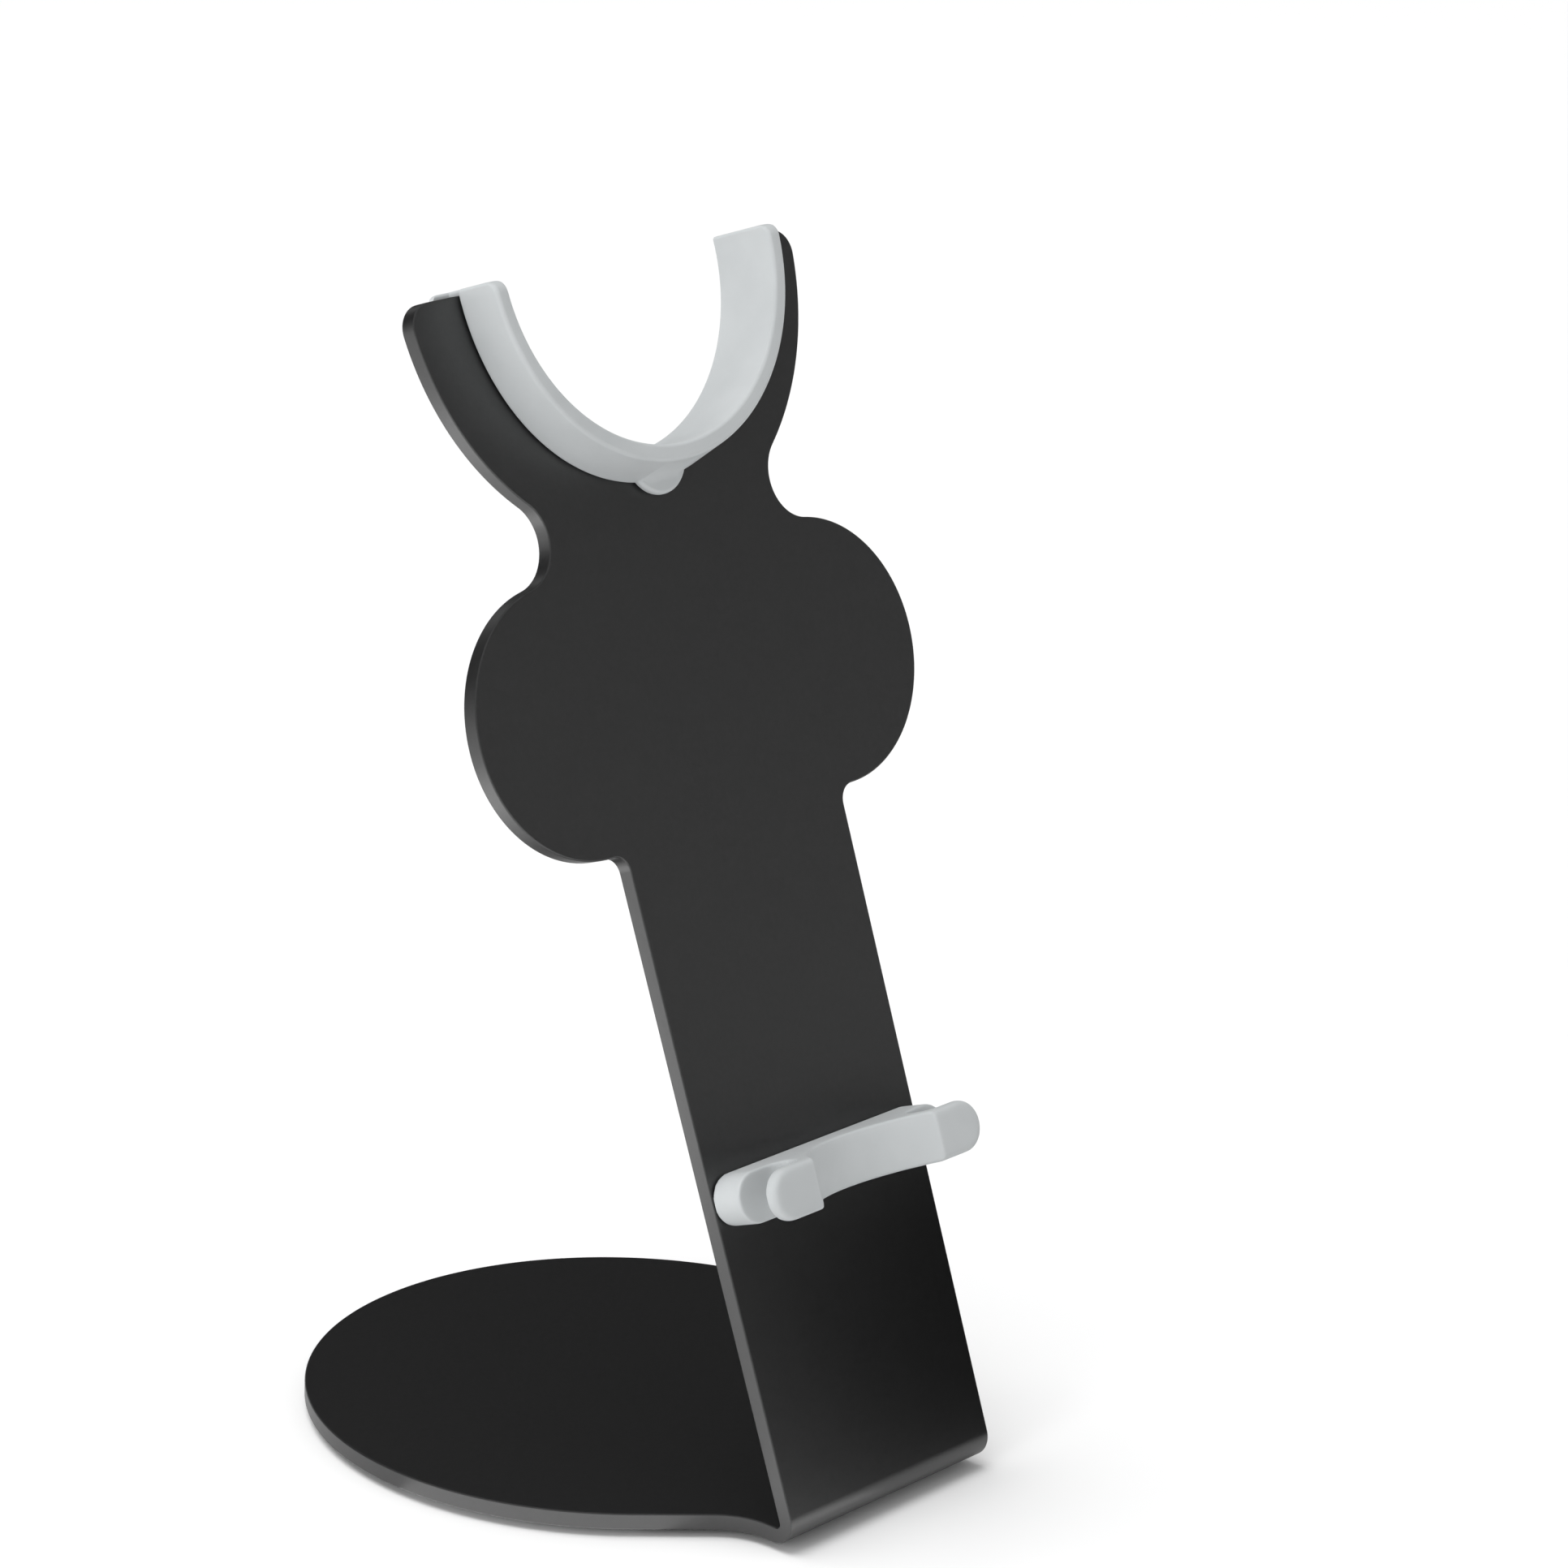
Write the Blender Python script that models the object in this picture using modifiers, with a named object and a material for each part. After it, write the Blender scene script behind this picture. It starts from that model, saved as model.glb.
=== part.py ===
"""Hair dryer holder: a free-standing stand folded from one steel sheet.

Frame: metres, +Z up, X across the stand, the dryer faces -Y and the base runs back to +Y.
The origin is the centre of the footprint, on the surface that the foot pads rest on.

The sheet is drawn flat, with x across it and q along it. q is 0 where the base meets the
bend, negative on the base and positive on the bend and the upright. fold() then bends it.
The pieces on the upright are drawn in its own frame: u across, v up along its front face
from the corner where that face would meet the underside of the base, and n out of it.
"""

from math import acos, atan2, ceil, cos, degrees, hypot, pi, radians, sin, sqrt, tan

import bmesh
import bpy
from mathutils import Matrix, Vector

# Driving dimensions, metres
SHEET = 0.0037              # steel sheet with its coating
LEAN = radians(20.5)        # upright leans back over the base by this much
BEND_RADIUS = 0.0053        # outer radius of the fold
BEND_INNER_RADIUS = 0.001   # a tight press-brake bend, so the sheet thins a little round it
GAP = 0.0003                # clearance between pieces that touch

BASE_RADIUS = 0.0706
BASE_CENTRE = 0.0831        # from the fold's corner back to the middle of the disc
NECK_FILLET = 0.016
POST_HALF_WIDTH = 0.0326    # at the fold
POST_TOP_HALF_WIDTH = 0.034  # under the lobes

LOBE_U = 0.0383             # middle of each nozzle lobe
LOBE_V = 0.183
LOBE_RADIUS = 0.0296
LOBE_FILLET = 0.004         # where a lobe runs into the post
WAIST_FILLET = 0.0098       # between a lobe and the cradle

CRADLE_V = 0.275            # axis of the dryer's head, level with the tops of the horns
HORN_V = 0.274              # middle of the horns' outer arc
HORN_RADIUS = 0.0588
HORN_CORNER = 0.0055
CRADLE_CUT = 0.043          # radius of the cut-out that carries the pad

PAD_INNER = 0.0403          # fits an 80 mm dryer head
PAD_CREASE = 0.0439         # outer radius of the pad's front face
PAD_SIDE = 0.0445           # outer radius on the sheet, at the sides
PAD_BOTTOM = 0.0473         # and at the bottom
PAD_FRONT = 0.0113          # reach in front of the sheet
PAD_RISE = 0.0012           # pad ends stand above the horns by this much
PAD_END_ROUND = 0.003       # radius of the front corner of each end
FLANGE_END_ROUND = 0.002    # radius of the flange's outer corner there
FLANGE_RADIUS = 0.0481      # the flange behind the sheet
FLANGE = 0.002
TAB_RADIUS = 0.0085
TAB_V = 0.2332
TAB_FRONT = 0.0026

BRACKET_V = 0.0766
BRACKET_HEIGHT = 0.0114
BRACKET_HALF_LENGTH = 0.0336
BRACKET_FRONT = 0.0188
HANDLE_N = 0.029           # axis of the dryer's handle, in front of the sheet
HANDLE_REST = 0.0222        # radius of the hollow that the handle leans in
CABLE_SLOT_N = 0.01205      # middle of the cable slot
CABLE_SLOT_RADIUS = 0.00385
CABLE_SLOT_U = 0.0237       # middle of the slot's round end

STUD_U = 0.0215
STUD_RADIUS = 0.0024
STUD_HEAD_RADIUS = 0.0042
STUD_HEAD = 0.0016
STUD_TAPER = 0.8            # the head's flat back, as a share of its rim
STUD_ROOT = 0.0025          # length of stem inside the bracket

FOOT_RADIUS = 0.007
FOOT_HEIGHT = 0.0015
FOOT_CHAMFER = 0.0003
FOOT_CIRCLE = 0.056         # the pads' distance from the middle of the disc
FOOT_ANGLES = {
    "foot_pad_rear_right": 50,
    "foot_pad_rear_left": 130,
    "foot_pad_front_left": 222,
    "foot_pad_front_right": 318,
}

CHORD = 0.0021              # longest straight side on a round stretch of an outline
BEND_STEPS = 10
PAD_STEPS = 44
WELD = 0.000001             # points closer than this are one point

# Derived sizes
HALF_CORNER = tan((pi / 2 - LEAN) / 2)
BEND_TANGENT = BEND_RADIUS / HALF_CORNER
BEND_ANGLE = pi / 2 + LEAN
BEND_LENGTH = BEND_ANGLE * (BEND_RADIUS - SHEET / 2)
FOLD_FRONT = BEND_TANGENT - BEND_RADIUS
CORNER_Y = -(FOLD_FRONT + BASE_CENTRE + BASE_RADIUS) / 2
SHEET_BOTTOM = FOOT_HEIGHT + GAP

STEEL_BLACK = ("powder_black_steel", (0.022, 0.022, 0.023, 1.0), 0.42, 0.0)
SILICONE_GREY = ("silicone_grey", (0.46, 0.49, 0.50, 1.0), 0.55, 0.0)
RUBBER_BLACK = ("rubber_black", (0.02, 0.02, 0.02, 1.0), 0.75, 0.0)


def clear_scene():
    for item in list(bpy.data.objects):
        bpy.data.objects.remove(item, do_unlink=True)


def new_collection(name):
    collection = bpy.data.collections.new(name)
    bpy.context.scene.collection.children.link(collection)
    return collection


def make_material(name, look):
    """Each sub-part has a material of its own, of one of the three kinds."""
    kind, colour, roughness, metallic = look
    material = bpy.data.materials.new(name + "_" + kind)
    material.use_nodes = True
    shader = material.node_tree.nodes["Principled BSDF"]
    shader.inputs["Base Color"].default_value = colour
    shader.inputs["Roughness"].default_value = roughness
    shader.inputs["Metallic"].default_value = metallic
    material.diffuse_color = colour
    return material


def add_object(name, mesh, collection, look=None):
    item = bpy.data.objects.new(name, mesh)
    collection.objects.link(item)
    if look:
        mesh.materials.append(make_material(name, look))
    return item


def as_cutter(item):
    item.hide_render = True
    item.display_type = "WIRE"
    return item


def boolean(item, other, operation):
    modifier = item.modifiers.new(operation.lower() + "_" + other.name, "BOOLEAN")
    modifier.operation = operation
    modifier.object = other


def arc(centre, radius, start, end):
    """Points along an arc, angles in degrees, both ends included."""
    steps = max(2, ceil(abs(radians(end - start)) * radius / CHORD))
    turns = [radians(start + (end - start) * step / steps) for step in range(steps + 1)]
    return [(centre[0] + radius * cos(turn), centre[1] + radius * sin(turn)) for turn in turns]


def direction(start, end):
    """The angle in degrees of the line from one point to another."""
    return degrees(atan2(end[1] - start[1], end[0] - start[0]))


def mirrored(half):
    """Close a half outline that starts and ends on x = 0."""
    return half + [(-x, y) for x, y in reversed(half[1:-1])]


def outline_mesh(name, outlines, thickness):
    """A flat plate from closed outlines: the first is its edge, the others are holes."""
    curve = bpy.data.curves.new(name, "CURVE")
    curve.dimensions = "2D"
    curve.fill_mode = "BOTH"
    curve.extrude = thickness / 2
    for outline in outlines:
        spline = curve.splines.new("POLY")
        spline.points.add(len(outline) - 1)
        spline.use_cyclic_u = True
        for point, (x, y) in zip(spline.points, outline):
            point.co = (x, y, 0.0, 1.0)
    drawn = bpy.data.objects.new(name, curve)
    bpy.context.scene.collection.objects.link(drawn)
    bpy.context.view_layer.update()
    evaluated = drawn.evaluated_get(bpy.context.evaluated_depsgraph_get())
    mesh = bpy.data.meshes.new_from_object(evaluated)
    bpy.data.objects.remove(drawn, do_unlink=True)
    bpy.data.curves.remove(curve)
    mesh.name = name
    work = bmesh.new()
    work.from_mesh(mesh)
    bmesh.ops.remove_doubles(work, verts=work.verts, dist=WELD)
    bmesh.ops.recalc_face_normals(work, faces=work.faces)
    work.to_mesh(mesh)
    work.free()
    return mesh


def base_half():
    """Right half of the base, from the middle of its rear edge to the bend, in (x, q)."""
    disc = arc((0.0, BASE_CENTRE), BASE_RADIUS, 90, -45)
    fillet_x = POST_HALF_WIDTH + NECK_FILLET
    fillet_y = fillet_x + BASE_CENTRE - sqrt(2) * (BASE_RADIUS + NECK_FILLET)
    fillet = arc((fillet_x, fillet_y), NECK_FILLET, 135, 180)
    return [(x, BEND_TANGENT - y) for x, y in disc + fillet]


def meeting_point(centre_a, distance_a, centre_b, distance_b):
    """The point at the two distances from two centres, on the outer side of the line between them."""
    gap = hypot(centre_b[0] - centre_a[0], centre_b[1] - centre_a[1])
    cosine = (distance_a ** 2 + gap ** 2 - distance_b ** 2) / (2 * distance_a * gap)
    turn = radians(direction(centre_a, centre_b)) + acos(cosine)
    return (centre_a[0] + distance_a * cos(turn), centre_a[1] + distance_a * sin(turn))


def upright_half():
    """Right half of the upright, from the post's edge to the bottom of the cradle, in (u, v)."""
    lobe = (LOBE_U, LOBE_V)
    horn = (0.0, HORN_V)
    root_u = POST_TOP_HALF_WIDTH + LOBE_FILLET
    root_drop = sqrt((LOBE_RADIUS + LOBE_FILLET) ** 2 - (root_u - LOBE_U) ** 2)
    root = (root_u, LOBE_V - root_drop)
    waist = meeting_point(horn, HORN_RADIUS + WAIST_FILLET, lobe, LOBE_RADIUS + WAIST_FILLET)
    corner_v = CRADLE_V - HORN_CORNER
    corner = (sqrt((HORN_RADIUS - HORN_CORNER) ** 2 - (corner_v - HORN_V) ** 2), corner_v)
    points = arc(root, LOBE_FILLET, 180, direction(root, lobe))
    points += arc(lobe, LOBE_RADIUS, direction(lobe, root), direction(lobe, waist))[1:]
    points += arc(waist, WAIST_FILLET, direction(waist, lobe) + 360, direction(waist, horn))[1:]
    points += arc(horn, HORN_RADIUS, direction(horn, waist), direction(horn, corner))[1:]
    points += arc(corner, HORN_CORNER, direction(horn, corner), 90)[1:]
    points += arc((0.0, CRADLE_V), CRADLE_CUT, 0, -90)
    return points


def along_sheet(v):
    """Place along the flat sheet of a height v on the upright."""
    return BEND_LENGTH + v - BEND_TANGENT


def circle(centre, radius):
    return arc(centre, radius, 0, 360)[:-1]


def fold(point):
    """Bend a point of the flat sheet: z is its depth, 0 on the underside and front face."""
    turn = min(max(point.y / BEND_LENGTH, 0.0), 1.0) * BEND_ANGLE
    on_bend = WELD < point.y < BEND_LENGTH - WELD
    inner_radius = BEND_INNER_RADIUS if on_bend else BEND_RADIUS - SHEET
    depth = point.z / SHEET
    radius = BEND_RADIUS + (inner_radius - BEND_RADIUS) * depth
    centre_z = BEND_RADIUS + (SHEET + inner_radius - BEND_RADIUS) * depth
    y = centre_z / HALF_CORNER - radius * sin(turn)
    z = centre_z - radius * cos(turn)
    if point.y < 0:
        y -= point.y
    elif point.y > BEND_LENGTH:
        y += (point.y - BEND_LENGTH) * sin(LEAN)
        z += (point.y - BEND_LENGTH) * cos(LEAN)
    return Vector((point.x, CORNER_Y + y, SHEET_BOTTOM + z))


def stand_plate(collection):
    """Base, bend and upright in one sheet, with two holes for the bracket's studs."""
    upright = [(u, along_sheet(v)) for u, v in upright_half()]
    edge = mirrored(base_half() + upright)
    stud_row = along_sheet(BRACKET_V)
    holes = [circle((side * STUD_U, stud_row), STUD_RADIUS + GAP) for side in (-1, 1)]
    mesh = outline_mesh("stand_plate", [edge] + holes, SHEET)
    work = bmesh.new()
    work.from_mesh(mesh)
    for step in range(BEND_STEPS + 1):
        everything = list(work.verts) + list(work.edges) + list(work.faces)
        line = Vector((0.0, BEND_LENGTH * step / BEND_STEPS, 0.0))
        bmesh.ops.bisect_plane(work, geom=everything, plane_co=line, plane_no=(0, 1, 0), dist=WELD)
    for vertex in work.verts:
        vertex.co = fold(vertex.co + Vector((0.0, 0.0, SHEET / 2)))
    # q runs against Y, so bending the sheet also turns its faces inside out
    bmesh.ops.reverse_faces(work, faces=work.faces)
    work.to_mesh(mesh)
    work.free()
    return add_object("stand_plate", mesh, collection, STEEL_BLACK)


def upright_frame():
    """Matrix from the upright's (u, v, n) to the world."""
    frame = Matrix.Rotation(pi / 2 - LEAN, 4, "X")
    return Matrix.Translation((0.0, CORNER_Y, SHEET_BOTTOM)) @ frame


def loft(name, sections):
    """A closed body through sections that have the same number of points."""
    work = bmesh.new()
    rows = [[work.verts.new(point) for point in section] for section in sections]
    count = len(rows[0])
    for row, after in zip(rows, rows[1:]):
        for index in range(count):
            following = (index + 1) % count
            work.faces.new((row[index], row[following], after[following], after[index]))
    work.faces.new(list(reversed(rows[0])))
    work.faces.new(rows[-1])
    bmesh.ops.recalc_face_normals(work, faces=work.faces)
    mesh = bpy.data.meshes.new(name)
    work.to_mesh(mesh)
    work.free()
    return mesh


def pad_section(turn, rise=0.0, rounding=0.0):
    """The pad's section at an angle from the cradle's bottom, as (u, v, n) points.

    The sections of an end rise straight up past the horn, and rounding, which grows to a
    quarter turn, draws in their front and their flange.
    """
    outer = PAD_SIDE + (PAD_BOTTOM - PAD_SIDE) * cos(turn) ** 2
    web = CRADLE_CUT - GAP
    back = -SHEET - GAP
    front = PAD_FRONT - PAD_END_ROUND * (1 - cos(rounding))
    flange = FLANGE_RADIUS - FLANGE_END_ROUND * (1 - cos(rounding))
    profile = [
        (PAD_INNER, front),
        (PAD_CREASE, front),
        (outer, GAP),
        (web, GAP),
        (web, back),
        (flange, back),
        (flange, back - FLANGE),
        (PAD_INNER, back - FLANGE),
    ]
    centre_v = CRADLE_V + rise
    return [(r * sin(turn), centre_v - r * cos(turn), n) for r, n in profile]


def cradle_pad(collection, cutters):
    """A silicone saddle that grips the cut-out's edge, with a tab under its middle."""
    last_turn = pi / 2 - (PAD_END_ROUND - PAD_RISE) / PAD_INNER
    turns = [last_turn * (2 * step / PAD_STEPS - 1) for step in range(PAD_STEPS + 1)]
    roundings = [radians(angle) for angle in (30, 60, 90)]
    ends = [(PAD_RISE - PAD_END_ROUND * (1 - sin(turn)), turn) for turn in roundings]
    sections = [pad_section(-pi / 2, rise, rounding) for rise, rounding in reversed(ends)]
    sections += [pad_section(turn) for turn in turns]
    sections += [pad_section(pi / 2, rise, rounding) for rise, rounding in ends]
    pad = add_object("cradle_pad", loft("cradle_pad", sections), collection, SILICONE_GREY)
    pad.matrix_world = upright_frame()
    tab_edge = arc((0.0, TAB_V), TAB_RADIUS, 180, 360)
    tab_mesh = outline_mesh("pad_tab", [tab_edge], TAB_FRONT - GAP)
    tab = as_cutter(add_object("pad_tab", tab_mesh, cutters))
    tab.matrix_world = upright_frame() @ Matrix.Translation((0.0, 0.0, (TAB_FRONT + GAP) / 2))
    boolean(pad, tab, "UNION")
    return pad


def bracket_half():
    """Right half of the bracket seen from above, in (u, n), from back to front."""
    back_wall = CABLE_SLOT_N - CABLE_SLOT_RADIUS
    hook_wall = CABLE_SLOT_N + CABLE_SLOT_RADIUS
    rest_u = sqrt(HANDLE_REST ** 2 - (HANDLE_N - BRACKET_FRONT) ** 2)
    rest_end = direction((0.0, HANDLE_N), (rest_u, BRACKET_FRONT))
    points = [(0.0, GAP), (BRACKET_HALF_LENGTH, GAP), (BRACKET_HALF_LENGTH, back_wall)]
    points += arc((CABLE_SLOT_U, CABLE_SLOT_N), CABLE_SLOT_RADIUS, 270, 90)
    points += [(BRACKET_HALF_LENGTH, hook_wall), (BRACKET_HALF_LENGTH, BRACKET_FRONT)]
    points += arc((0.0, HANDLE_N), HANDLE_REST, rest_end, -90)
    return points


def turned(name, profile, collection, steps):
    """A body turned about its own Z from (radius, height) points, top to bottom."""
    mesh = bpy.data.meshes.new(name)
    edges = [(index, index + 1) for index in range(len(profile) - 1)]
    mesh.from_pydata([(radius, 0.0, height) for radius, height in profile], edges, [])
    item = add_object(name, mesh, collection)
    screw = item.modifiers.new("turn", "SCREW")
    screw.steps = steps
    screw.render_steps = steps
    screw.use_merge_vertices = True
    screw.merge_threshold = 1e-5
    return item


def stud(name, u, cutters):
    """A moulded stud: its stem passes through the sheet and its head holds behind it."""
    back = -SHEET - GAP
    profile = [
        (0.0, STUD_ROOT),
        (STUD_RADIUS, STUD_ROOT),
        (STUD_RADIUS, back),
        (STUD_HEAD_RADIUS, back),
        (STUD_HEAD_RADIUS * STUD_TAPER, back - STUD_HEAD),
        (0.0, back - STUD_HEAD),
    ]
    item = as_cutter(turned(name, profile, cutters, 28))
    item.matrix_world = upright_frame() @ Matrix.Translation((u, BRACKET_V, 0.0))
    return item


def handle_bracket(collection, cutters):
    """A silicone rest for the dryer's handle, with a cable hook at each end.

    Its plan, drawn over tall, is cut to the rounded ends of its front view, drawn over deep.
    """
    mesh = outline_mesh("handle_bracket", [mirrored(bracket_half())], BRACKET_HEIGHT * 2)
    bracket = add_object("handle_bracket", mesh, collection, SILICONE_GREY)
    stand_up = Matrix.Rotation(pi / 2, 4, "X")
    bracket.matrix_world = upright_frame() @ Matrix.Translation((0.0, BRACKET_V, 0.0)) @ stand_up
    end_u = BRACKET_HALF_LENGTH - BRACKET_HEIGHT / 2
    right_end = arc((end_u, BRACKET_V), BRACKET_HEIGHT / 2, -90, 90)
    left_end = arc((-end_u, BRACKET_V), BRACKET_HEIGHT / 2, 90, 270)
    ends_mesh = outline_mesh("bracket_ends", [right_end + left_end], BRACKET_FRONT * 3)
    ends = as_cutter(add_object("bracket_ends", ends_mesh, cutters))
    ends.matrix_world = upright_frame()
    boolean(bracket, ends, "INTERSECT")
    for side, u in (("left", -STUD_U), ("right", STUD_U)):
        boolean(bracket, stud("bracket_stud_" + side, u, cutters), "UNION")
    return bracket


def foot_pads(collection):
    """Four round self-adhesive pads under the base."""
    middle_y = CORNER_Y + BASE_CENTRE
    profile = [
        (0.0, FOOT_HEIGHT),
        (FOOT_RADIUS, FOOT_HEIGHT),
        (FOOT_RADIUS, FOOT_CHAMFER),
        (FOOT_RADIUS - FOOT_CHAMFER, 0.0),
        (0.0, 0.0),
    ]
    for name, angle in FOOT_ANGLES.items():
        pad = turned(name, profile, collection, 36)
        pad.data.materials.append(make_material(name, RUBBER_BLACK))
        turn = radians(angle)
        pad.location = (FOOT_CIRCLE * cos(turn), middle_y + FOOT_CIRCLE * sin(turn), 0.0)


def shade(collection):
    for item in collection.objects:
        item.data.shade_smooth()
        item.data.set_sharp_from_angle(angle=radians(32))


def main():
    clear_scene()
    parts = new_collection("hair_dryer_holder")
    cutters = new_collection("cutters")
    stand_plate(parts)
    cradle_pad(parts, cutters)
    handle_bracket(parts, cutters)
    foot_pads(parts)
    shade(parts)


main()
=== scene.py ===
"""The looks of the hair dryer holder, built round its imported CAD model.

Frame: metres, +Z up, X across the stand, the dryer faces -Y and the base runs back to +Y.

The stand is drawn as a flat sheet, with x across it and q along it, and fold() bends it.
The pieces on the upright are drawn in its own frame: u across, v up along its front face
from the corner where that face would meet the underside of the base, and n out of it.
"""

from math import acos, atan2, ceil, cos, degrees, hypot, pi, radians, sin, sqrt, tan

import bmesh
import bpy
from mathutils import Matrix, Vector


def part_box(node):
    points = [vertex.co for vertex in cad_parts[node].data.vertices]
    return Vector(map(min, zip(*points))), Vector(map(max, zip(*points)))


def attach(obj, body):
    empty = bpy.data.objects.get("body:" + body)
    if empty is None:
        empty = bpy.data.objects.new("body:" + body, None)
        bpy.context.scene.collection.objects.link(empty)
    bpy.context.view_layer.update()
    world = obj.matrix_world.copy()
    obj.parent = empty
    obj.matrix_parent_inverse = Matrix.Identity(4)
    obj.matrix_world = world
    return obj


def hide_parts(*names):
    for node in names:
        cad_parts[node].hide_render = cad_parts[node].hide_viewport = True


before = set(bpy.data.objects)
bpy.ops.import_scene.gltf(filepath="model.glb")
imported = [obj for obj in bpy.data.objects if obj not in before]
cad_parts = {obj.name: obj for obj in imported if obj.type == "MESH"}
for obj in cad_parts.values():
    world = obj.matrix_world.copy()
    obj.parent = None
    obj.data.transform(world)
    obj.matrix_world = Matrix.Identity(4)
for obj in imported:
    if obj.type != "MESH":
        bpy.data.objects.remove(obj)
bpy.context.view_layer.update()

# The same driving dimensions as the CAD, metres: the folded sheet
SHEET = 0.0037
LEAN = radians(20.5)
BEND_RADIUS = 0.0053
BEND_INNER_RADIUS = 0.001
BASE_RADIUS = 0.0706
BASE_CENTRE = 0.0831
NECK_FILLET = 0.016
POST_HALF_WIDTH = 0.0326
POST_TOP_HALF_WIDTH = 0.034
LOBE_U = 0.0383
LOBE_V = 0.183
LOBE_RADIUS = 0.0296
LOBE_FILLET = 0.004
WAIST_FILLET = 0.0098
CRADLE_V = 0.275
HORN_V = 0.274
HORN_RADIUS = 0.0588
HORN_CORNER = 0.0055
CRADLE_CUT = 0.043

# The cradle pad
GAP = 0.0003                # between the silicone pieces and the sheet
PAD_INNER = 0.0403
PAD_CREASE = 0.0439
PAD_SIDE = 0.0445
PAD_BOTTOM = 0.0473
PAD_FRONT = 0.0113
PAD_RISE = 0.0012
PAD_END_ROUND = 0.003
FLANGE_END_ROUND = 0.002
FLANGE_RADIUS = 0.0481
FLANGE = 0.002
TAB_RADIUS = 0.0085
TAB_V = 0.2332
TAB_FRONT = 0.0026

# The handle bracket and the feet
BRACKET_V = 0.0766
BRACKET_HEIGHT = 0.0114
BRACKET_HALF_LENGTH = 0.0336
BRACKET_FRONT = 0.0188
HANDLE_N = 0.029
HANDLE_REST = 0.0222
CABLE_SLOT_N = 0.01205
CABLE_SLOT_RADIUS = 0.00385
CABLE_SLOT_U = 0.0237
STUD_U = 0.0215
STUD_HEAD_RADIUS = 0.0042
STUD_HEAD = 0.0016
FEET = ("foot_pad_rear_right", "foot_pad_rear_left", "foot_pad_front_left", "foot_pad_front_right")

# Detail that only the looks need, metres
CHORD = 0.0007              # longest straight side on a round stretch of an outline
BEND_STEPS = 32
PAD_STEPS = 120
PAD_END_STEPS = 14
STUD_STEPS = 8
STUD_SIDES = 48
SHEET_EDGE = 0.00035        # rounding of the coated sheet's edges
PAD_RIM = 0.0007            # rounding round the top of each end of the pad
LIP_ROUND = 0.0009          # rounding of the corners of the pad's section
CREASE_ROUND = 0.0011
TOE_ROUND = 0.0007
FLANGE_ROUND = 0.0012
CORNER_ROUND = 0.0002
TAB_ROUND = 0.0009
TAB_BACK = 0.00037          # just in front of the pad's own back, for a clean union
BRACKET_RIM = 0.0014
BRACKET_VOXEL = 0.0003      # mesh size and smoothing passes that soften the bracket's edges
BRACKET_PASSES = 18
FOOT_RIM = 0.0005

# Materials: the darker and the lighter tone of each, and its range of roughness
COAT_TONES = ((0.0048, 0.0048, 0.005), (0.0075, 0.0075, 0.0077))
COAT_ROUGHNESS = (0.405, 0.425)
SILICONE_TONES = ((0.47, 0.49, 0.497), (0.5, 0.52, 0.527))
SILICONE_ROUGHNESS = (0.5, 0.62)
SILICONE_DEPTH = 0.0008     # how far light wanders in the silicone, metres
RUBBER_TONES = ((0.014, 0.014, 0.014), (0.032, 0.032, 0.031))
RUBBER_ROUGHNESS = (0.72, 0.9)

# Camera: from the holder's left front, a little above its middle; angles in degrees
CAMERA_PLACE = (-0.8757, -0.8005, 0.5347)
CAMERA_AZIMUTH = -48.94
CAMERA_ELEVATION = 18.03
CAMERA_ROLL = 2.05
CAMERA_LENS = 132.1         # millimetres, on a sensor 36 mm wide

# Light: radiance of the surround, irradiance from above, watts of two lamps, glow of three cards
WORLD_LIGHT = 0.5
OVERHEAD_LIGHT = 0.68
LEFT_LIGHT = 25
FRONT_LIGHT = 5
EDGE_GLOW = 1.9
BEND_GLOW = 0.75
BASE_GLOW = 1.0
WALL_GLOW = 0.97
MIDDLE = (0.0, 0.0, 0.13)
FLOOR = 8.0                 # half the floor's side
UP = (0.0, 0.0, 1.0)

WELD = 0.000001             # points closer than this are one point

# Derived sizes
HALF_CORNER = tan((pi / 2 - LEAN) / 2)
BEND_TANGENT = BEND_RADIUS / HALF_CORNER
BEND_ANGLE = pi / 2 + LEAN
BEND_LENGTH = BEND_ANGLE * (BEND_RADIUS - SHEET / 2)
FRONT_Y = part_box("stand_plate")[0].y
SHEET_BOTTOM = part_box("stand_plate")[0].z
CORNER_Y = FRONT_Y - (BEND_TANGENT - BEND_RADIUS)


def new_object(name, mesh, material=None):
    """An object in the scene, with its mesh's one material."""
    item = bpy.data.objects.new(name, mesh)
    bpy.context.scene.collection.objects.link(item)
    if material:
        mesh.materials.append(material)
    return item


def mesh_from(work, name):
    """Turn a bmesh into a mesh, and free it."""
    mesh = bpy.data.meshes.new(name)
    work.to_mesh(mesh)
    work.free()
    return mesh


def finish_piece(item, slot_name, *nodes):
    """Ride on the holder's one body, in place of CAD nodes. slot_name is not used."""
    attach(item, "root")
    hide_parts(*nodes)


def apply_modifiers(item):
    """Replace the object's mesh with its evaluated one."""
    evaluated = item.evaluated_get(bpy.context.evaluated_depsgraph_get())
    mesh = bpy.data.meshes.new_from_object(evaluated)
    item.modifiers.clear()
    item.data = mesh


# Outlines

def arc(centre, radius, start, end):
    """Points along an arc, angles in degrees, both ends included."""
    steps = max(6, ceil(abs(radians(end - start)) * radius / CHORD))
    turns = [radians(start + (end - start) * step / steps) for step in range(steps + 1)]
    return [(centre[0] + radius * cos(turn), centre[1] + radius * sin(turn)) for turn in turns]


def direction(start, end):
    """The angle in degrees of the line from one point to another."""
    return degrees(atan2(end[1] - start[1], end[0] - start[0]))


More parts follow.
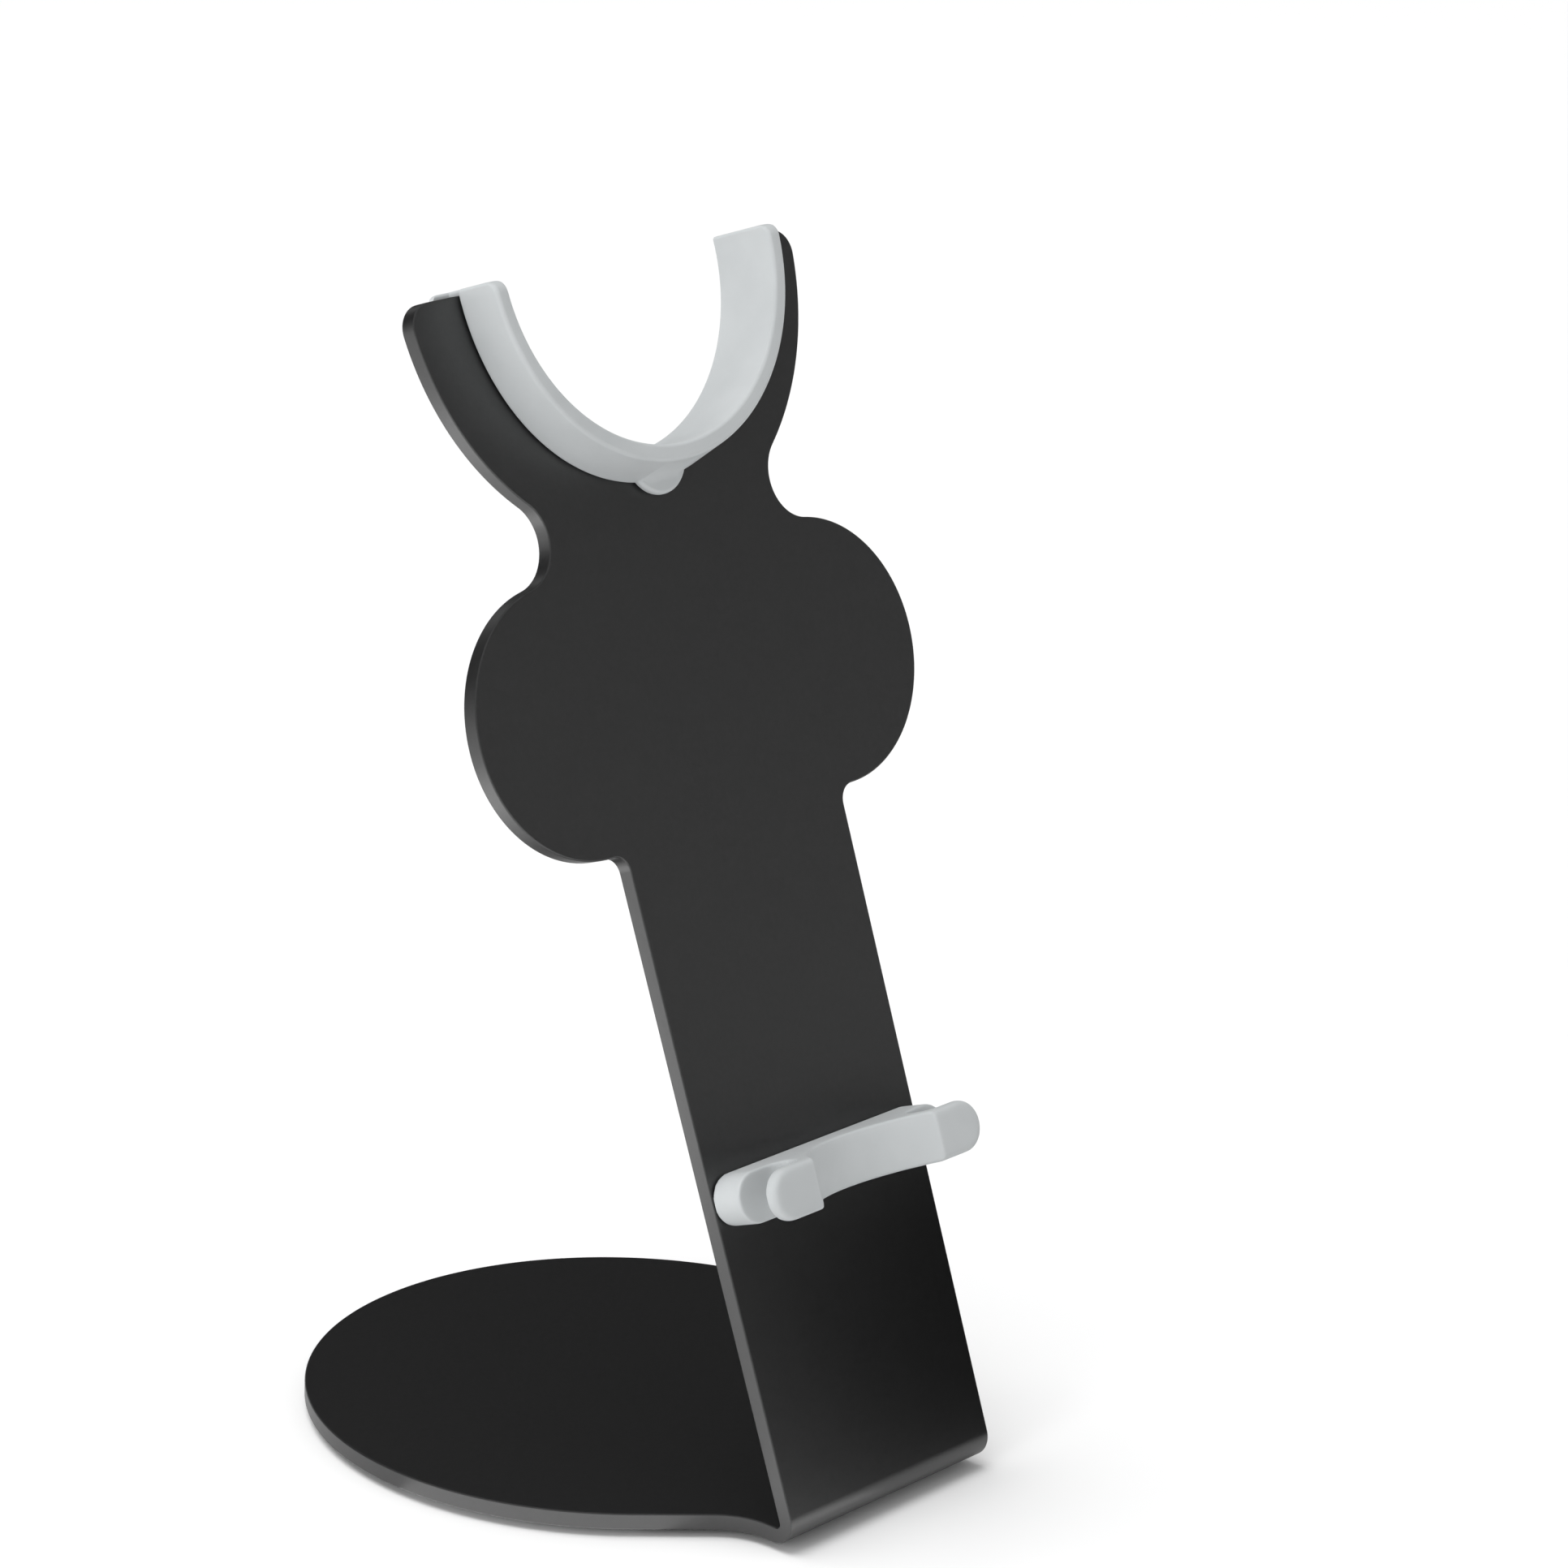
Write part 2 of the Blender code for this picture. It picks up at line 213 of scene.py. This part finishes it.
def without_repeats(points):
    """The closed outline with each point that repeats the one before it left out."""
    kept = []
    for index, point in enumerate(points):
        before = points[index - 1]
        if hypot(point[0] - before[0], point[1] - before[1]) > WELD:
            kept.append(point)
    return kept


def mirrored(half):
    """Close a half outline that starts and ends on x = 0."""
    return without_repeats(half + [(-x, y) for x, y in reversed(half[1:-1])])


def inset(points, distance):
    """The closed outline, drawn clockwise or not, moved in by a distance along its mitres."""
    count = len(points)
    area = sum(points[i - 1][0] * points[i][1] - points[i][0] * points[i - 1][1] for i in range(count))
    inward = distance if area > 0 else -distance
    moved = []
    for index, (x, y) in enumerate(points):
        before = points[index - 1]
        after = points[(index + 1) % count]
        into = Vector((x - before[0], y - before[1])).normalized()
        out = Vector((after[0] - x, after[1] - y)).normalized()
        mitre = Vector((-into.y - out.y, into.x + out.x))
        scale = 2 * inward / max(mitre.length_squared, 0.5)
        moved.append((x + mitre.x * scale, y + mitre.y * scale))
    return moved


def rounded(points, radii, steps=5):
    """The closed outline with each corner turned into an arc of the radius given for it."""
    smooth = []
    for index, (corner, radius) in enumerate(zip(points, radii)):
        here = Vector(corner)
        into = (here - Vector(points[index - 1])).normalized()
        out = (Vector(points[(index + 1) % len(points)]) - here).normalized()
        half_turn = into.angle(out) / 2
        reach = radius * tan(half_turn)
        centre_way = (out - into).normalized()
        centre = here + centre_way * (radius / cos(half_turn))
        start = (here - into * reach - centre).normalized()
        end = (here + out * reach - centre).normalized()
        for step in range(steps + 1):
            smooth.append(tuple(centre + start.slerp(end, step / steps) * radius))
    return smooth


def meeting_point(centre_a, distance_a, centre_b, distance_b):
    """The point at the two distances from two centres, on the outer side of the line between them."""
    gap = hypot(centre_b[0] - centre_a[0], centre_b[1] - centre_a[1])
    cosine = (distance_a ** 2 + gap ** 2 - distance_b ** 2) / (2 * distance_a * gap)
    turn = radians(direction(centre_a, centre_b)) + acos(cosine)
    return (centre_a[0] + distance_a * cos(turn), centre_a[1] + distance_a * sin(turn))


def base_half():
    """Right half of the base, from the middle of its rear edge to the bend, in (x, q)."""
    disc = arc((0.0, BASE_CENTRE), BASE_RADIUS, 90, -45)
    fillet_x = POST_HALF_WIDTH + NECK_FILLET
    fillet_y = fillet_x + BASE_CENTRE - sqrt(2) * (BASE_RADIUS + NECK_FILLET)
    fillet = arc((fillet_x, fillet_y), NECK_FILLET, 135, 180)
    return [(x, BEND_TANGENT - y) for x, y in disc + fillet]


def upright_half():
    """Right half of the upright, from the post's edge to the bottom of the cradle, in (u, v)."""
    lobe = (LOBE_U, LOBE_V)
    horn = (0.0, HORN_V)
    root_u = POST_TOP_HALF_WIDTH + LOBE_FILLET
    root_drop = sqrt((LOBE_RADIUS + LOBE_FILLET) ** 2 - (root_u - LOBE_U) ** 2)
    root = (root_u, LOBE_V - root_drop)
    waist = meeting_point(horn, HORN_RADIUS + WAIST_FILLET, lobe, LOBE_RADIUS + WAIST_FILLET)
    corner_v = CRADLE_V - HORN_CORNER
    corner = (sqrt((HORN_RADIUS - HORN_CORNER) ** 2 - (corner_v - HORN_V) ** 2), corner_v)
    points = arc(root, LOBE_FILLET, 180, direction(root, lobe))
    points += arc(lobe, LOBE_RADIUS, direction(lobe, root), direction(lobe, waist))
    points += arc(waist, WAIST_FILLET, direction(waist, lobe) + 360, direction(waist, horn))
    points += arc(horn, HORN_RADIUS, direction(horn, waist), direction(horn, corner))
    points += arc(corner, HORN_CORNER, direction(horn, corner), 90)
    points += arc((0.0, CRADLE_V), CRADLE_CUT, 0, -90)
    return points


# The folded sheet

def along_sheet(v):
    """Place along the flat sheet of a height v on the upright."""
    return BEND_LENGTH + v - BEND_TANGENT


def fold(point):
    """Bend a point of the flat sheet: z is its depth, 0 on the underside and front face."""
    turn = min(max(point.y / BEND_LENGTH, 0.0), 1.0) * BEND_ANGLE
    on_bend = WELD < point.y < BEND_LENGTH - WELD
    inner_radius = BEND_INNER_RADIUS if on_bend else BEND_RADIUS - SHEET
    depth = point.z / SHEET
    radius = BEND_RADIUS + (inner_radius - BEND_RADIUS) * depth
    centre_z = BEND_RADIUS + (SHEET + inner_radius - BEND_RADIUS) * depth
    y = centre_z / HALF_CORNER - radius * sin(turn)
    z = centre_z - radius * cos(turn)
    if point.y < 0:
        y -= point.y
    elif point.y > BEND_LENGTH:
        y += (point.y - BEND_LENGTH) * sin(LEAN)
        z += (point.y - BEND_LENGTH) * cos(LEAN)
    return Vector((point.x, CORNER_Y + y, SHEET_BOTTOM + z))


def edge_profile(thickness, radius, steps):
    """(inset, depth) across a rounded edge, from one face to the other."""
    turns = [pi / 2 * step / steps for step in range(steps + 1)]
    first = [(radius * (1 - sin(turn)), radius * (1 - cos(turn))) for turn in turns]
    return first + [(distance, thickness - depth) for distance, depth in reversed(first)]


def join_rows(work, rows):
    """Faces between closed rows of vertices, and over the first and the last of them."""
    for row, after in zip(rows, rows[1:]):
        for index in range(len(row)):
            work.faces.new((row[index - 1], row[index], after[index], after[index - 1]))
    work.faces.new(list(reversed(rows[0])))
    work.faces.new(rows[-1])


def rounded_plate(outline, thickness, radius, steps=4):
    """A flat plate with rounded edges, from z = 0 up to its thickness, as a bmesh."""
    work = bmesh.new()
    rows = []
    for distance, depth in edge_profile(thickness, radius, steps):
        rows.append([work.verts.new((x, y, depth)) for x, y in inset(outline, distance)])
    join_rows(work, rows)
    return work


def flat_weighted(item):
    """Smooth shading in which the large flat faces stay flat."""
    item.data.shade_smooth()
    weighted = item.modifiers.new("flat_faces_stay_flat", "WEIGHTED_NORMAL")
    weighted.mode = "FACE_AREA"
    weighted.weight = 100
    weighted.keep_sharp = True


def stand_plate(material):
    """Base, bend and upright in one sheet with rounded edges. The stud holes are covered."""
    upright = [(u, along_sheet(v)) for u, v in upright_half()]
    edge = mirrored(base_half() + upright)
    work = rounded_plate(edge, SHEET, SHEET_EDGE)
    for step in range(BEND_STEPS + 1):
        everything = list(work.verts) + list(work.edges) + list(work.faces)
        line = Vector((0.0, BEND_LENGTH * step / BEND_STEPS, 0.0))
        bmesh.ops.bisect_plane(work, geom=everything, plane_co=line, plane_no=(0, 1, 0), dist=WELD)
    for vertex in work.verts:
        vertex.co = fold(vertex.co)
    bmesh.ops.reverse_faces(work, faces=work.faces)
    stand = new_object("coated_stand_plate", mesh_from(work, "coated_stand_plate"), material)
    flat_weighted(stand)
    finish_piece(stand, "powder_coated_steel", "stand_plate")


def upright_frame():
    """Matrix from the upright's (u, v, n) to the world."""
    turned = Matrix.Rotation(pi / 2 - LEAN, 4, "X")
    return Matrix.Translation((0.0, CORNER_Y, SHEET_BOTTOM)) @ turned


# The silicone pieces

def loft(sections):
    """A closed body through sections that have the same number of points, as a bmesh."""
    work = bmesh.new()
    join_rows(work, [[work.verts.new(point) for point in section] for section in sections])
    bmesh.ops.recalc_face_normals(work, faces=work.faces)
    return work


def pad_section(turn, end_height=0.0, end_turn=0.0, shrink=0.0):
    """The pad's rounded section at an angle from the cradle's bottom, as (u, v, n) points.

    end_height and end_turn follow the rounding of an end, and shrink draws the section in
    over the last of it, so that the end's own rim is soft.
    """
    outer = PAD_SIDE + (PAD_BOTTOM - PAD_SIDE) * cos(turn) ** 2
    web = CRADLE_CUT - GAP
    back = -SHEET - GAP
    front = PAD_FRONT - PAD_END_ROUND * (1 - cos(end_turn))
    flange = FLANGE_RADIUS - FLANGE_END_ROUND * (1 - cos(end_turn))
    corners = [
        (PAD_INNER, front, LIP_ROUND),
        (PAD_CREASE, front, CREASE_ROUND),
        (outer, GAP, TOE_ROUND),
        (web, GAP, CORNER_ROUND),
        (web, back, CORNER_ROUND),
        (flange, back, CORNER_ROUND),
        (flange, back - FLANGE, FLANGE_ROUND),
        (PAD_INNER, back - FLANGE, LIP_ROUND),
    ]
    outline = inset([(r, n) for r, n, _ in corners], shrink)
    radii = [max(radius - shrink, 0.0001) for _, _, radius in corners]
    centre_v = CRADLE_V + end_height
    return [(r * sin(turn), centre_v - r * cos(turn), n) for r, n in rounded(outline, radii)]


def pad_end_sections(side):
    """Sections up one end of the pad, from the horn's level to its top."""
    sections = []
    for step in range(1, PAD_END_STEPS + 1):
        end_turn = pi / 2 * step / PAD_END_STEPS
        height = PAD_END_ROUND * sin(end_turn)
        over_rim = max(height - PAD_END_ROUND + PAD_RIM, 0.0) / PAD_RIM
        shrink = PAD_RIM * (1 - sqrt(1 - over_rim ** 2))
        rise = PAD_RISE - PAD_END_ROUND + height
        sections.append(pad_section(side * pi / 2, rise, end_turn, shrink))
    return sections


def cradle_pad(material):
    """The silicone saddle that grips the cut-out's edge, with a tab under its middle."""
    last_turn = pi / 2 - (PAD_END_ROUND - PAD_RISE) / PAD_INNER
    turns = [last_turn * (2 * step / PAD_STEPS - 1) for step in range(PAD_STEPS + 1)]
    sections = list(reversed(pad_end_sections(-1)))
    sections += [pad_section(turn) for turn in turns]
    sections += pad_end_sections(1)
    pad = new_object("moulded_cradle_pad", mesh_from(loft(sections), "moulded_cradle_pad"), material)
    tab_edge = without_repeats(arc((0.0, TAB_V), TAB_RADIUS, 180, 360))
    tab_work = rounded_plate(tab_edge, TAB_FRONT - TAB_BACK, TAB_ROUND)
    bmesh.ops.translate(tab_work, verts=tab_work.verts, vec=(0.0, 0.0, TAB_BACK))
    bmesh.ops.recalc_face_normals(tab_work, faces=tab_work.faces)
    tab = new_object("pad_tab", mesh_from(tab_work, "pad_tab"))
    union = pad.modifiers.new("tab", "BOOLEAN")
    union.operation = "UNION"
    union.object = tab
    apply_modifiers(pad)
    bpy.data.objects.remove(tab, do_unlink=True)
    pad.data.transform(upright_frame())
    flat_weighted(pad)
    finish_piece(pad, "silicone", "cradle_pad")


def bracket_half():
    """Right half of the bracket seen from above, in (u, n), from back to front."""
    back_wall = CABLE_SLOT_N - CABLE_SLOT_RADIUS
    hook_wall = CABLE_SLOT_N + CABLE_SLOT_RADIUS
    rest_u = sqrt(HANDLE_REST ** 2 - (HANDLE_N - BRACKET_FRONT) ** 2)
    rest_end = direction((0.0, HANDLE_N), (rest_u, BRACKET_FRONT))
    points = [(0.0, GAP), (BRACKET_HALF_LENGTH, GAP), (BRACKET_HALF_LENGTH, back_wall)]
    points += arc((CABLE_SLOT_U, CABLE_SLOT_N), CABLE_SLOT_RADIUS, 270, 90)
    points += [(BRACKET_HALF_LENGTH, hook_wall), (BRACKET_HALF_LENGTH, BRACKET_FRONT)]
    points += arc((0.0, HANDLE_N), HANDLE_REST, rest_end, -90)
    return points


def prism(name, outline, thickness):
    """A plate centred on its own middle plane, with sharp edges."""
    work = rounded_plate(outline, thickness, CORNER_ROUND, 1)
    bmesh.ops.translate(work, verts=work.verts, vec=(0.0, 0.0, -thickness / 2))
    bmesh.ops.recalc_face_normals(work, faces=work.faces)
    return new_object(name, mesh_from(work, name))


def stadium(half_length, middle_v, height):
    """A strip with two round ends, in (u, v)."""
    end_u = half_length - height / 2
    right_end = arc((end_u, middle_v), height / 2, -90, 90)
    left_end = arc((-end_u, middle_v), height / 2, 90, 270)
    return without_repeats(right_end + left_end)


def handle_bracket(material):
    """The silicone rest for the dryer's handle, with a cable hook at each end."""
    bracket = prism("moulded_handle_bracket", mirrored(bracket_half()), BRACKET_HEIGHT * 2)
    stand_up = Matrix.Rotation(pi / 2, 4, "X")
    bracket.data.transform(Matrix.Translation((0.0, BRACKET_V, 0.0)) @ stand_up)
    front_edge = stadium(BRACKET_HALF_LENGTH, BRACKET_V, BRACKET_HEIGHT)
    body = rounded_plate(front_edge, BRACKET_FRONT + BRACKET_RIM, BRACKET_RIM)
    bmesh.ops.translate(body, verts=body.verts, vec=(0.0, 0.0, -BRACKET_RIM))
    bmesh.ops.recalc_face_normals(body, faces=body.faces)
    blank = new_object("bracket_blank", mesh_from(body, "bracket_blank"))
    cut = bracket.modifiers.new("ends", "BOOLEAN")
    cut.operation = "INTERSECT"
    cut.object = blank
    apply_modifiers(bracket)
    bpy.data.objects.remove(blank, do_unlink=True)
    bracket.data.materials.append(material)
    soften(bracket, BRACKET_VOXEL, BRACKET_PASSES)
    bracket.data = with_stud_heads(bracket.data)
    bracket.data.transform(upright_frame())
    finish_piece(bracket, "silicone", "handle_bracket")


def with_stud_heads(mesh):
    """The bracket's mesh with the two low domed heads that hold it from behind the sheet."""
    work = bmesh.new()
    work.from_mesh(mesh)
    for u in (-STUD_U, STUD_U):
        rows = []
        for step in range(STUD_STEPS):
            turn = pi / 2 * step / STUD_STEPS
            place = Vector((u, BRACKET_V, -SHEET - GAP - STUD_HEAD * sin(turn)))
            spokes = circle(STUD_HEAD_RADIUS * sqrt(cos(turn)), STUD_SIDES)
            rows.append([work.verts.new(place + spoke) for spoke in spokes])
        join_rows(work, rows)
    for face in work.faces:
        face.smooth = True
    bmesh.ops.recalc_face_normals(work, faces=work.faces)
    done = mesh_from(work, mesh.name)
    done.materials.append(mesh.materials[0])
    return done


def circle(radius, count):
    """Spokes from a point to the circle round it."""
    turns = [2 * pi * step / count for step in range(count)]
    return [Vector((radius * cos(turn), radius * sin(turn), 0.0)) for turn in turns]


def foot_pad(node, material):
    """A round rubber pad with a soft rim, under the base."""
    low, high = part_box(node)
    radius = (high.x - low.x) / 2
    edge = without_repeats(arc((0.0, 0.0), radius, 0, 360))
    work = rounded_plate(edge, high.z - low.z, FOOT_RIM)
    bmesh.ops.translate(work, verts=work.verts, vec=((low.x + high.x) / 2, (low.y + high.y) / 2, low.z))
    name = "moulded_" + node
    pad = new_object(name, mesh_from(work, name), material)
    flat_weighted(pad)
    finish_piece(pad, "foot_rubber", node)


def soften(item, voxel, passes):
    """Round every edge a little, as a soft moulding has them."""
    remesh = item.modifiers.new("even_mesh", "REMESH")
    remesh.mode = "VOXEL"
    remesh.voxel_size = voxel
    smooth = item.modifiers.new("soft_edges", "SMOOTH")
    smooth.factor = 0.5
    smooth.iterations = passes
    apply_modifiers(item)
    item.data.shade_smooth()


# Materials

def new_material(name, colour, roughness):
    """A plain material, with its node tree and its shader."""
    material = bpy.data.materials.new(name)
    material.use_nodes = True
    shader = material.node_tree.nodes["Principled BSDF"]
    shader.inputs["Base Color"].default_value = (*colour, 1.0)
    shader.inputs["Roughness"].default_value = roughness
    return material, material.node_tree, shader


def noise(tree, scale, detail):
    """A noise texture fixed to the object, with its scale in features per metre."""
    place = tree.nodes.new("ShaderNodeTexCoord")
    texture = tree.nodes.new("ShaderNodeTexNoise")
    texture.inputs["Scale"].default_value = scale
    texture.inputs["Detail"].default_value = detail
    tree.links.new(place.outputs["Object"], texture.inputs["Vector"])
    return texture.outputs["Fac"]


def spread(tree, value, low, high):
    """A texture's middle range mapped to a range of numbers."""
    ramp = tree.nodes.new("ShaderNodeMapRange")
    ramp.inputs["From Min"].default_value = 0.3
    ramp.inputs["From Max"].default_value = 0.7
    ramp.inputs["To Min"].default_value = low
    ramp.inputs["To Max"].default_value = high
    tree.links.new(value, ramp.inputs["Value"])
    return ramp.outputs["Result"]


def tinted(tree, shader, value, dark, light):
    """The base colour varied between two close tones."""
    ramp = tree.nodes.new("ShaderNodeValToRGB")
    ramp.color_ramp.elements[0].position = 0.35
    ramp.color_ramp.elements[0].color = (*dark, 1.0)
    ramp.color_ramp.elements[1].position = 0.65
    ramp.color_ramp.elements[1].color = (*light, 1.0)
    tree.links.new(value, ramp.inputs["Fac"])
    tree.links.new(ramp.outputs["Color"], shader.inputs["Base Color"])


def bumped(tree, shader, layers):
    """Bump layers stacked on the shader: (height, depth in metres, strength) from coarse to fine."""
    before = None
    for height, depth, strength in layers:
        bump = tree.nodes.new("ShaderNodeBump")
        bump.inputs["Distance"].default_value = depth
        bump.inputs["Strength"].default_value = strength
        tree.links.new(height, bump.inputs["Height"])
        if before:
            tree.links.new(before, bump.inputs["Normal"])
        before = bump.outputs["Normal"]
    tree.links.new(before, shader.inputs["Normal"])


def powder_coat():
    """Satin black powder coat, with its fine grain and slight unevenness of gloss."""
    material, tree, shader = new_material("satin_black_powder_coat", (0.02, 0.02, 0.021), 0.45)
    shader.inputs["Specular IOR Level"].default_value = 1.0
    tinted(tree, shader, noise(tree, 900, 3.0), *COAT_TONES)
    gloss = spread(tree, noise(tree, 350, 5.0), *COAT_ROUGHNESS)
    tree.links.new(gloss, shader.inputs["Roughness"])
    bumped(tree, shader, [(noise(tree, 500, 2.0), 0.00004, 0.35), (noise(tree, 2200, 3.0), 0.00002, 0.45)])
    return material


def silicone():
    """Matt light grey silicone, faintly translucent, with the fine grain of its mould."""
    material, tree, shader = new_material("matt_grey_silicone", (0.5, 0.53, 0.54), 0.55)
    shader.inputs["Subsurface Weight"].default_value = 0.06
    shader.inputs["Subsurface Radius"].default_value = (SILICONE_DEPTH, SILICONE_DEPTH, SILICONE_DEPTH)
    shader.inputs["Subsurface Scale"].default_value = 1.0
    shader.inputs["Sheen Weight"].default_value = 0.08
    tinted(tree, shader, noise(tree, 70, 4.0), *SILICONE_TONES)
    gloss = spread(tree, noise(tree, 300, 3.0), *SILICONE_ROUGHNESS)
    tree.links.new(gloss, shader.inputs["Roughness"])
    bumped(tree, shader, [(noise(tree, 120, 2.0), 0.0001, 0.15), (noise(tree, 3500, 2.0), 0.000015, 0.4)])
    return material


def foot_rubber():
    """Matt black rubber with an open, slightly dusty grain."""
    material, tree, shader = new_material("matt_black_rubber", (0.02, 0.02, 0.02), 0.8)
    tinted(tree, shader, noise(tree, 1200, 5.0), *RUBBER_TONES)
    gloss = spread(tree, noise(tree, 400, 3.0), *RUBBER_ROUGHNESS)
    tree.links.new(gloss, shader.inputs["Roughness"])
    bumped(tree, shader, [(noise(tree, 2600, 3.0), 0.00004, 0.6)])
    return material


# The studio

def camera():
    """The camera, at a long focal length."""
    lens = bpy.data.cameras.new("camera")
    lens.sensor_width = 36
    lens.lens = CAMERA_LENS
    lens.clip_start = 0.05
    lens.clip_end = 30
    item = bpy.data.objects.new("camera", lens)
    bpy.context.scene.collection.objects.link(item)
    azimuth = Matrix.Rotation(radians(CAMERA_AZIMUTH), 4, "Z")
    tilt = Matrix.Rotation(radians(90 - CAMERA_ELEVATION), 4, "X")
    roll = Matrix.Rotation(radians(CAMERA_ROLL), 4, "Z")
    item.matrix_world = Matrix.Translation(CAMERA_PLACE) @ azimuth @ tilt @ roll
    bpy.context.scene.camera = item


def aimed(name, data, place, target):
    """A light, or a card, that faces a point."""
    item = bpy.data.objects.new(name, data)
    bpy.context.scene.collection.objects.link(item)
    aim = (Vector(place) - Vector(target)).to_track_quat("Z", "Y")
    item.matrix_world = Matrix.Translation(place) @ aim.to_matrix().to_4x4()
    return item


def soft_lamp(name, place, radius, power):
    """A round diffused lamp that lights every way and leaves no glare on the black coat."""
    light = bpy.data.lights.new(name, "POINT")
    light.shadow_soft_size = radius
    light.energy = power
    aimed(name, light, place, MIDDLE).visible_glossy = False


def sky():
    """A pale, even surround, and a broad soft light from above."""
    world = bpy.data.worlds.new("pale_studio")
    world.use_nodes = True
    background = world.node_tree.nodes["Background"]
    background.inputs["Color"].default_value = (1.0, 1.0, 1.0, 1.0)
    background.inputs["Strength"].default_value = WORLD_LIGHT
    bpy.context.scene.world = world
    overhead = bpy.data.lights.new("overhead", "SUN")
    overhead.energy = OVERHEAD_LIGHT * pi
    overhead.angle = radians(50)
    aimed("overhead", overhead, (-0.3, 0.25, 1.4), MIDDLE).visible_glossy = False


def flat_square(name, half_size, colour):
    """A mesh of one flat square with a matt material of its own."""
    work = bmesh.new()
    bmesh.ops.create_grid(work, x_segments=1, y_segments=1, size=half_size)
    material, _, shader = new_material(name, colour, 1.0)
    shader.inputs["Specular IOR Level"].default_value = 0.0
    mesh = mesh_from(work, name)
    mesh.materials.append(material)
    return mesh


def floor():
    """A pale floor at the height of the foot pads' undersides."""
    item = new_object("floor", flat_square("pale_floor", FLOOR, (0.86, 0.86, 0.86)))


def backdrop():
    """A pale wall all round, far off, that only the camera sees."""
    work = bmesh.new()
    bmesh.ops.create_cone(
        work, cap_ends=False, segments=96, radius1=FLOOR * 0.9, radius2=FLOOR * 0.9, depth=FLOOR * 1.2
    )
    material, _, shader = new_material("pale_backdrop", (0.0, 0.0, 0.0), 1.0)
    shader.inputs["Specular IOR Level"].default_value = 0.0
    shader.inputs["Emission Color"].default_value = (1.0, 1.0, 1.0, 1.0)
    shader.inputs["Emission Strength"].default_value = WALL_GLOW
    item = new_object("backdrop", mesh_from(work, "backdrop"), material)
    item.location.z = FLOOR * 0.5
    item.visible_diffuse = False
    item.visible_glossy = False
    item.visible_shadow = False


def reflected_card(name, place, half_size, grey, facing=None, glow=0.0):
    """A card that only reflections see. It faces the holder's middle unless told otherwise."""
    target = Vector(place) - Vector(facing) if facing else MIDDLE
    mesh = flat_square(name, half_size, (grey, grey, grey))
    shader = mesh.materials[0].node_tree.nodes["Principled BSDF"]
    shader.inputs["Emission Color"].default_value = (1.0, 1.0, 1.0, 1.0)
    shader.inputs["Emission Strength"].default_value = glow
    item = aimed(name, mesh, place, target)
    item.visible_camera = False
    item.visible_diffuse = False
    item.visible_shadow = False


def studio():
    """Everything round the holder. The cards darken its faces or draw out its edges."""
    bpy.context.scene.view_settings.view_transform = "Standard"
    sky()
    floor()
    backdrop()
    soft_lamp("left_lamp", (-1.3, -0.05, 0.5), 0.4, LEFT_LIGHT)
    soft_lamp("front_lamp", (0.4, -1.3, 0.7), 0.3, FRONT_LIGHT)
    reflected_card("rear_card", (1.2, 1.05, 0.75), 0.7, 0.01)
    reflected_card("front_card", (1.2, -1.1, 0.65), 0.7, 0.14)
    reflected_card("low_front_card", (0.137, -0.0402, -0.075), 0.15, 0.01, (-0.717, 0.675, -0.176))
    reflected_card("rear_left_card", (-0.35, 1.15, 0.62), 0.5, 0.01)
    reflected_card("left_floor_card", (-0.19, 0.13, 0.002), 0.085, 0.8, UP, EDGE_GLOW)
    reflected_card("base_floor_card", (-0.085, -0.035, 0.001), 0.04, 0.8, UP, BASE_GLOW)
    reflected_card("front_floor_card", (-0.026, -0.107, 0.002), 0.027, 0.8, UP, BEND_GLOW)


def main():
    """Build every piece and the studio."""
    coat = powder_coat()
    grey_silicone = silicone()
    black_rubber = foot_rubber()
    stand_plate(coat)
    cradle_pad(grey_silicone)
    handle_bracket(grey_silicone)
    for node in FEET:
        foot_pad(node, black_rubber)
    camera()
    studio()


main()
